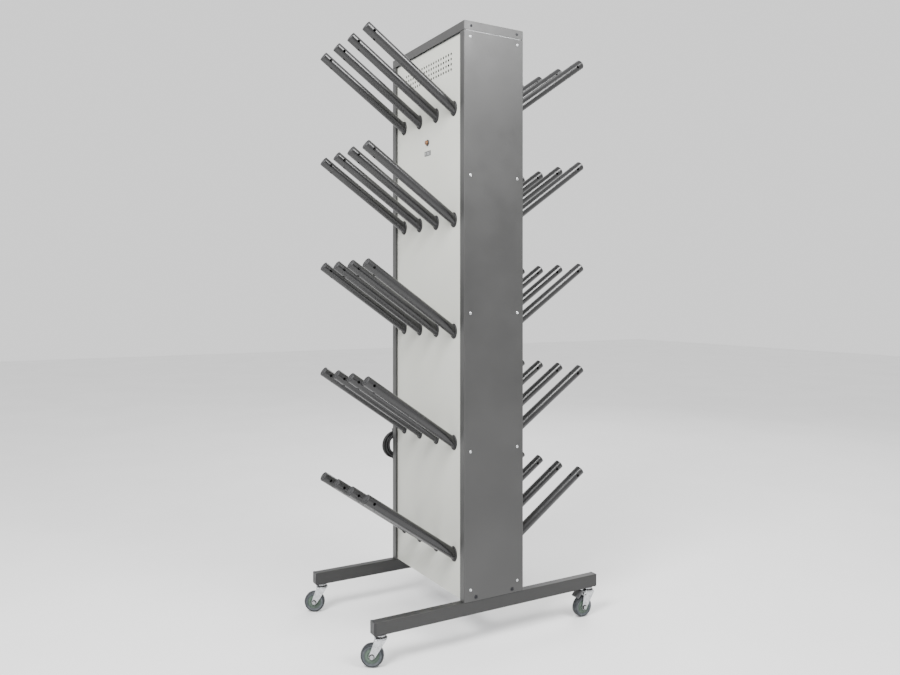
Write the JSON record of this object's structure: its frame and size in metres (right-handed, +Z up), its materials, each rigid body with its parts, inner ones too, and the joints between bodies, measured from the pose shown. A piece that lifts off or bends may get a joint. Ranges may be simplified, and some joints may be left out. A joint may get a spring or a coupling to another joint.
{
  "type": "boot dryer",
  "caption": "Floor-standing double-sided boot dryer: a tall warm-air cabinet on swivel casters with rows of inclined tubes that boots hang on.",
  "frame": {"origin": "on the floor, under the middle of the cabinet", "axes": "+X along the pale panels to the right end, -Y out of the front with the switch, +Z up"},
  "size_m": [0.6702, 0.9308, 2.104],
  "materials": {
    "panel_dark": "satin fine-textured powder coat",
    "panel_pale": "satin powder coat",
    "galvanised": "galvanised",
    "leg_paint": "satin powder coat",
    "black_plastic": "moulded",
    "screw_steel": "zinc plated",
    "black_steel": "black oxide",
    "tube_paint": "semi-gloss",
    "grommet_rubber": "moulded",
    "motor_steel": "satin",
    "heater_steel": "heat stained",
    "label_print": "printed film",
    "button_lens": "polished",
    "cord_rubber": "satin sheath",
    "zinc": "bright zinc plate",
    "tyre_rubber": "moulded",
    "hub_plastic": "moulded",
    "pedal_paint": "satin"
  },
  "bodies": {
    "cabinet": {"back_grommets": "grommet_rubber", "back_panel": "panel_pale", "back_tube_caps": "black_plastic", "back_tube_rails": "galvanised", "back_tubes": "tube_paint", "base_pan": "galvanised", "cable_gland": "black_plastic", "cable_hook": "black_steel", "caster_stems": "zinc", "control_box": "motor_steel", "corner_posts": "galvanised", "end_panel_left": "panel_dark", "end_panel_right": "panel_dark", "end_panel_screws": "screw_steel", "fan_deck": "galvanised", "fan_housing": "black_plastic", "fan_motor": "motor_steel", "front_grommets": "grommet_rubber", "front_panel": "panel_pale", "front_tube_caps": "black_plastic", "front_tube_rails": "galvanised", "front_tubes": "tube_paint", "heater_elements": "heater_steel", "heater_frame": "galvanised", "label_plate": "label_print", "leg_bracket_bolts": "black_steel", "leg_brackets": "galvanised", "leg_end_caps": "black_plastic", "leg_left": "leg_paint", "leg_right": "leg_paint", "lid_screws": "black_steel", "power_cord_coil": "cord_rubber", "power_cord_run": "cord_rubber", "power_plug": "black_plastic", "switch_bezel": "black_plastic", "top_cover": "panel_dark", "top_frame": "galvanised", "wiring_conduit": "black_plastic"},
    "fan_rotor": {"fan_impeller": "black_plastic"},
    "button": {"switch_button": "button_lens"},
    "fork_front_right": {"caster_fork_front_right": "zinc", "caster_axle_front_right": "zinc"},
    "wheel_front_right": {"caster_tyre_front_right": "tyre_rubber", "caster_hub_front_right": "hub_plastic"},
    "fork_front_left": {"caster_fork_front_left": "zinc", "caster_axle_front_left": "zinc"},
    "wheel_front_left": {"caster_tyre_front_left": "tyre_rubber", "caster_hub_front_left": "hub_plastic"},
    "fork_back_right": {"caster_fork_back_right": "zinc", "caster_axle_back_right": "zinc"},
    "wheel_back_right": {"caster_tyre_back_right": "tyre_rubber", "caster_hub_back_right": "hub_plastic"},
    "pedal_back_right": {"brake_pedal_back_right": "pedal_paint"},
    "fork_back_left": {"caster_fork_back_left": "zinc", "caster_axle_back_left": "zinc"},
    "wheel_back_left": {"caster_tyre_back_left": "tyre_rubber", "caster_hub_back_left": "hub_plastic"},
    "pedal_back_left": {"brake_pedal_back_left": "pedal_paint"}
  },
  "joints": [
    {"name": "fan_spin", "type": "hinge", "parent": "cabinet", "child": "fan_rotor", "pos_m": [0, 0, 1.92], "axis": [0, 0, 1], "continuous": true},
    {"name": "button_push", "type": "slide", "parent": "cabinet", "child": "button", "axis": [0, 1, 0], "range_m": [0, 0.0035], "stiffness_N_per_m": 600, "springref_m": -0.002},
    {"name": "swivel_front_right", "type": "hinge", "parent": "cabinet", "child": "fork_front_right", "pos_m": [0.26, -0.42, 0.09], "axis": [0, 0, 1], "continuous": true},
    {"name": "roll_front_right", "type": "hinge", "parent": "fork_front_right", "child": "wheel_front_right", "pos_m": [0.2465, -0.44338, 0.0375], "axis": [-0.866, 0.5, 0], "continuous": true},
    {"name": "swivel_front_left", "type": "hinge", "parent": "cabinet", "child": "fork_front_left", "pos_m": [-0.26, -0.42, 0.09], "axis": [0, 0, 1], "continuous": true},
    {"name": "roll_front_left", "type": "hinge", "parent": "fork_front_left", "child": "wheel_front_left", "pos_m": [-0.2735, -0.44338, 0.0375], "axis": [-0.866, 0.5, 0], "continuous": true},
    {"name": "swivel_back_right", "type": "hinge", "parent": "cabinet", "child": "fork_back_right", "pos_m": [0.26, 0.42, 0.09], "axis": [0, 0, 1], "continuous": true},
    {"name": "roll_back_right", "type": "hinge", "parent": "fork_back_right", "child": "wheel_back_right", "pos_m": [0.26, 0.393, 0.0375], "axis": [-1, 0, 0], "continuous": true},
    {"name": "brake_back_right", "type": "hinge", "parent": "fork_back_right", "child": "pedal_back_right", "pos_m": [0.26, 0.397, 0.0835], "axis": [1, 0, 0], "range_deg": [0, 10]},
    {"name": "swivel_back_left", "type": "hinge", "parent": "cabinet", "child": "fork_back_left", "pos_m": [-0.26, 0.42, 0.09], "axis": [0, 0, 1], "continuous": true},
    {"name": "roll_back_left", "type": "hinge", "parent": "fork_back_left", "child": "wheel_back_left", "pos_m": [-0.26, 0.393, 0.0375], "axis": [-1, 0, 0], "continuous": true},
    {"name": "brake_back_left", "type": "hinge", "parent": "fork_back_left", "child": "pedal_back_left", "pos_m": [-0.26, 0.397, 0.0835], "axis": [1, 0, 0], "range_deg": [0, 10]}
  ]
}
